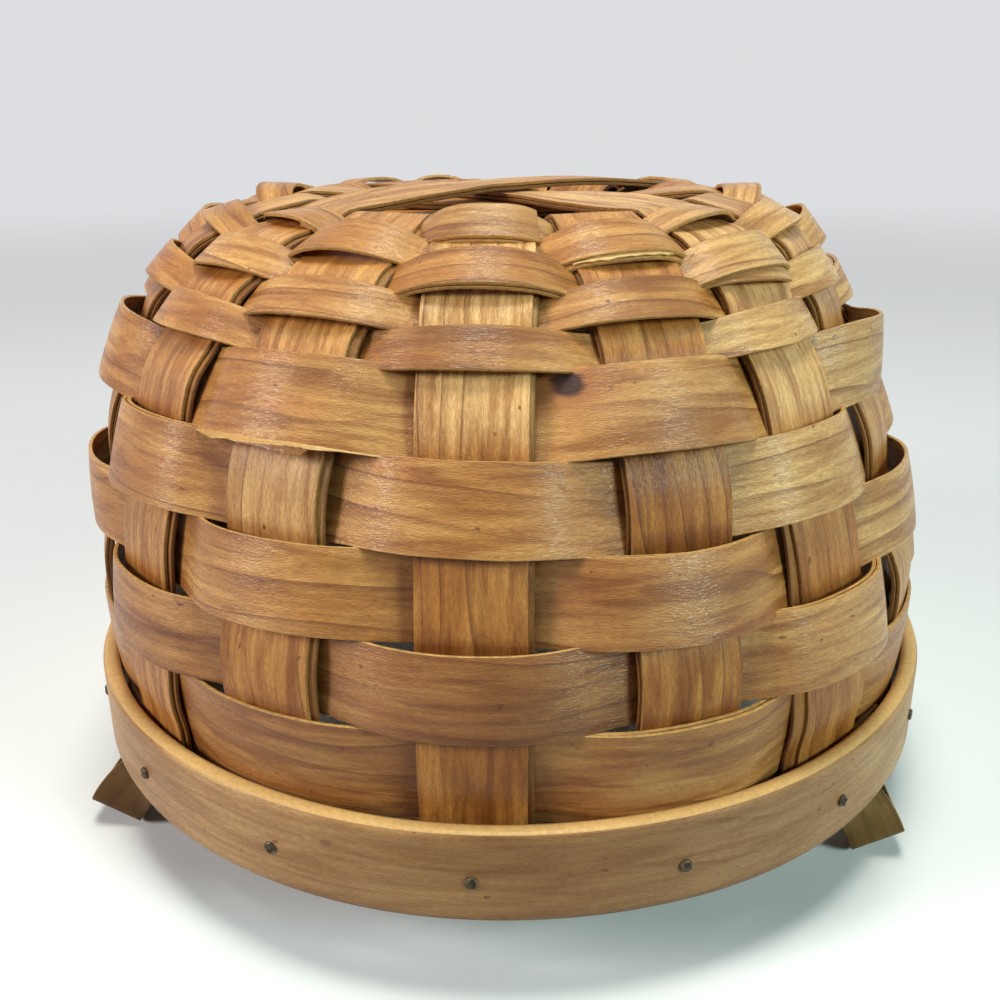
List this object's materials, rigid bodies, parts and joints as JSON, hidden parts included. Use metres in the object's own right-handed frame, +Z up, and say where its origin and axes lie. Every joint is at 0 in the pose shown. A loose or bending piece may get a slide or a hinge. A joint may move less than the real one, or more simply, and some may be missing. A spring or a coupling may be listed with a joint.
{
  "type": "darning basket",
  "caption": "Round basket of split hardwood with doubled uprights, woven bands, a nailed double rim hoop and strap handles, stored upside down on its handles.",
  "frame": {"origin": "floor level under the middle of the basket, standing upside down on its handles", "axes": "+Z up from the floor to the base of the basket, handles on the X axis, front upright at -Y"},
  "size_m": [0.263, 0.263, 0.186],
  "materials": {
    "splint_wood": "satin varnish over straight lengthwise grain",
    "inner_splint_wood": "thin varnish over straight lengthwise grain",
    "band_wood": "satin varnish over flowing grain",
    "hoop_wood": "worn matt varnish",
    "strap_wood": "matt, handled wood",
    "nail_steel": "dark, oxidised nail heads"
  },
  "bodies": {
    "root": {"splint_1": "splint_wood", "splint_2": "splint_wood", "splint_3": "splint_wood", "splint_4": "splint_wood", "splint_5": "splint_wood", "splint_6": "splint_wood", "splint_7": "splint_wood", "splint_8": "splint_wood", "inner_splint_1": "inner_splint_wood", "inner_splint_2": "inner_splint_wood", "inner_splint_3": "inner_splint_wood", "inner_splint_4": "inner_splint_wood", "inner_splint_5": "inner_splint_wood", "inner_splint_6": "inner_splint_wood", "inner_splint_7": "inner_splint_wood", "inner_splint_8": "inner_splint_wood", "band_1": "band_wood", "band_2": "band_wood", "band_3": "band_wood", "band_4": "band_wood", "band_5": "band_wood", "band_6": "band_wood", "band_7": "band_wood", "band_8": "band_wood", "band_9": "band_wood", "band_10": "band_wood", "outer_hoop": "hoop_wood", "inner_hoop": "hoop_wood", "nail_01": "nail_steel", "nail_02": "nail_steel", "nail_03": "nail_steel", "nail_04": "nail_steel", "nail_05": "nail_steel", "nail_06": "nail_steel", "nail_07": "nail_steel", "nail_08": "nail_steel", "nail_09": "nail_steel", "nail_10": "nail_steel", "nail_11": "nail_steel", "nail_12": "nail_steel", "nail_13": "nail_steel", "nail_14": "nail_steel", "nail_15": "nail_steel", "nail_16": "nail_steel", "handle_left": "strap_wood", "handle_right": "strap_wood"}
  },
  "joints": []
}
